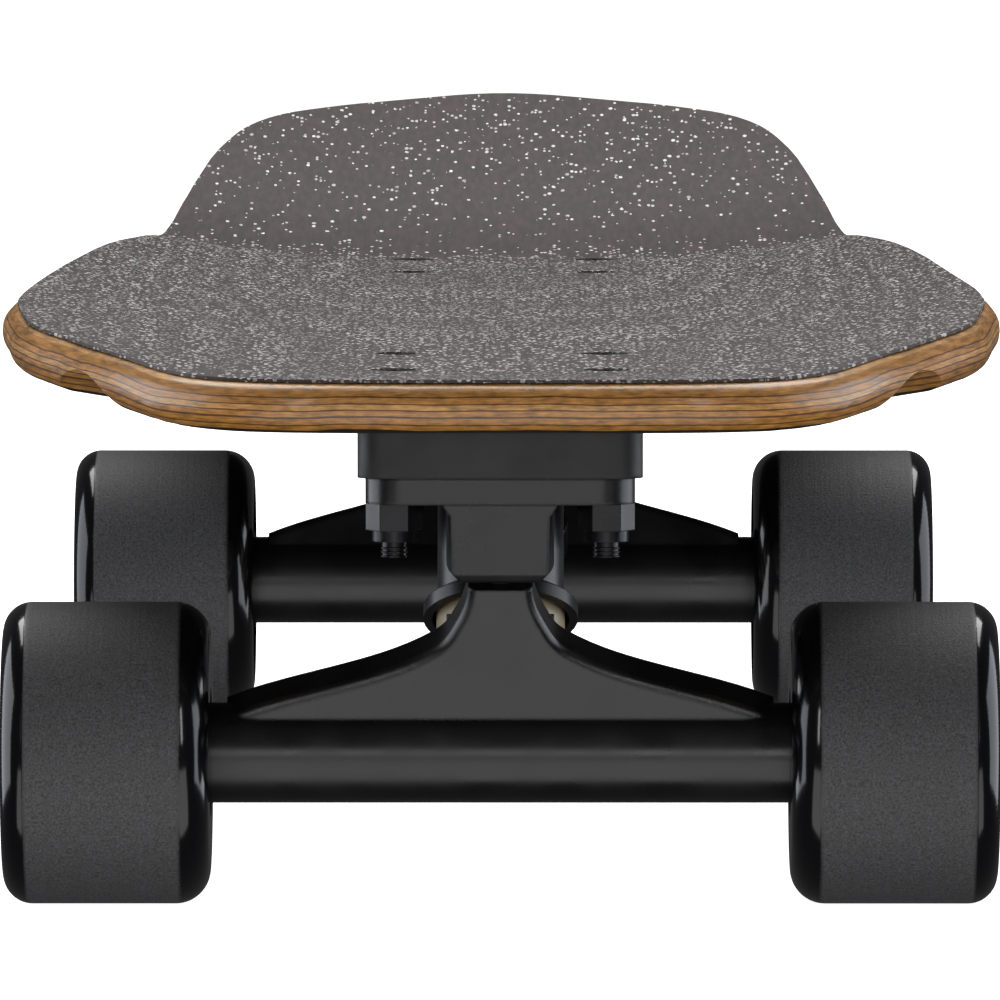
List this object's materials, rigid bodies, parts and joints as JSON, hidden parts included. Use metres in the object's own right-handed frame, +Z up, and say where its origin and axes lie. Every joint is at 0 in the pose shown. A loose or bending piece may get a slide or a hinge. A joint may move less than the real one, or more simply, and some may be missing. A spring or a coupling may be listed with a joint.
{
  "type": "electric skateboard",
  "caption": "Electric skateboard with a dished kicktail deck on traditional-kingpin trucks, hub motors in the rear wheels and a slim battery and controller tray under the deck",
  "frame": {"origin": "on the floor under the middle of the deck's length and width", "axes": "+Z up from the floor, +Y along the deck from the nose to the kicktail, +X across the deck"},
  "size_m": [0.2024, 0.6861, 0.1333],
  "materials": {
    "laminated_wood": "satin",
    "grit": "rough",
    "riser_rubber": "matte",
    "black_steel": "gloss",
    "cast_coated": "satin",
    "urethane_black": "satin",
    "urethane_cream": "satin",
    "moulded_plastic": "matte",
    "seal_rubber": "matte",
    "brass_turned": "satin",
    "cell_pouch": "satin",
    "circuit_board": "satin",
    "bare_aluminium": "satin",
    "bright_steel": "satin",
    "button_plastic": "gloss",
    "stator_steel": "satin",
    "copper_wire": "gloss",
    "wheel_urethane": "satin",
    "core_plastic": "matte",
    "anodised_black": "satin",
    "magnet_nickel": "satin"
  },
  "bodies": {
    "board": {"deck_board": "laminated_wood", "grip_coat": "grit", "front_riser_pad": "riser_rubber", "rear_riser_pad": "riser_rubber", "truck_bolts": "black_steel", "truck_nuts": "black_steel", "front_baseplate": "cast_coated", "rear_baseplate": "cast_coated", "pivot_cups": "urethane_black", "kingpins": "black_steel", "kingpin_nuts": "black_steel", "board_side_washers": "black_steel", "road_side_washers": "black_steel", "front_board_bushing": "urethane_cream", "front_road_bushing": "urethane_cream", "rear_board_bushing": "urethane_cream", "rear_road_bushing": "urethane_cream", "enclosure_tray": "moulded_plastic", "enclosure_gasket": "seal_rubber", "enclosure_screws": "black_steel", "enclosure_inserts": "brass_turned", "battery_cells": "cell_pouch", "battery_board": "circuit_board", "motor_controller": "circuit_board", "controller_heat_plate": "bare_aluminium", "charge_port": "moulded_plastic", "power_button_guide": "moulded_plastic", "cable_glands": "moulded_plastic", "charge_cap_pin": "bright_steel"},
    "front_truck": {"front_hanger": "cast_coated", "front_axle": "bright_steel", "front_axle_nuts": "black_steel", "front_axle_washers": "bright_steel", "front_bearing_inner_rings": "bright_steel", "front_bearing_spacers": "bare_aluminium"},
    "front_left_wheel": {"front_left_tyre": "wheel_urethane", "front_left_core": "core_plastic", "front_left_bearing_rings": "bright_steel"},
    "front_right_wheel": {"front_right_tyre": "wheel_urethane", "front_right_core": "core_plastic", "front_right_bearing_rings": "bright_steel"},
    "rear_truck": {"rear_hanger": "cast_coated", "rear_axle": "bright_steel", "rear_axle_nuts": "black_steel", "rear_axle_washers": "bright_steel", "rear_bearing_inner_rings": "bright_steel", "motor_stators": "stator_steel", "motor_coils": "copper_wire"},
    "rear_left_wheel": {"rear_left_tyre": "wheel_urethane", "rear_left_motor_can": "anodised_black", "rear_left_motor_cover": "anodised_black", "rear_left_magnets": "magnet_nickel", "rear_left_bearing_rings": "bright_steel"},
    "rear_right_wheel": {"rear_right_tyre": "wheel_urethane", "rear_right_motor_can": "anodised_black", "rear_right_motor_cover": "anodised_black", "rear_right_magnets": "magnet_nickel", "rear_right_bearing_rings": "bright_steel"},
    "power_button": {"power_button": "button_plastic"},
    "charge_cap": {"charge_port_cap": "seal_rubber"}
  },
  "joints": [
    {"name": "front_steering", "type": "hinge", "parent": "board", "child": "front_truck", "pos_m": [0, -0.2573, 0.042], "axis": [0, -0.811, 0.585], "range_deg": [-18, 18], "stiffness_Nm_per_rad": 12, "deforming": ["front_board_bushing", "front_road_bushing"]},
    {"name": "front_left_wheel_spin", "type": "hinge", "parent": "front_truck", "child": "front_left_wheel", "pos_m": [0.0768, -0.2855, 0.0295], "axis": [1, 0, 0], "continuous": true},
    {"name": "front_right_wheel_spin", "type": "hinge", "parent": "front_truck", "child": "front_right_wheel", "pos_m": [-0.0768, -0.2855, 0.0295], "axis": [1, 0, 0], "continuous": true},
    {"name": "rear_steering", "type": "hinge", "parent": "board", "child": "rear_truck", "pos_m": [0, 0.1383, 0.042], "axis": [0, 0.811, 0.585], "range_deg": [-18, 18], "stiffness_Nm_per_rad": 12, "deforming": ["rear_board_bushing", "rear_road_bushing"]},
    {"name": "rear_left_wheel_spin", "type": "hinge", "parent": "rear_truck", "child": "rear_left_wheel", "pos_m": [0.0768, 0.1665, 0.0295], "axis": [1, 0, 0], "continuous": true},
    {"name": "rear_right_wheel_spin", "type": "hinge", "parent": "rear_truck", "child": "rear_right_wheel", "pos_m": [-0.0768, 0.1665, 0.0295], "axis": [1, 0, 0], "continuous": true},
    {"name": "power_button_press", "type": "slide", "parent": "board", "child": "power_button", "axis": [1, 0, 0], "range_m": [0, 0.0012], "stiffness_N_per_m": 900, "springref_m": -0.0004},
    {"name": "charge_cap_swing", "type": "hinge", "parent": "board", "child": "charge_cap", "pos_m": [-0.0606, -0.078, 0.0866], "axis": [0, 0, 1], "range_deg": [0, 100]}
  ]
}
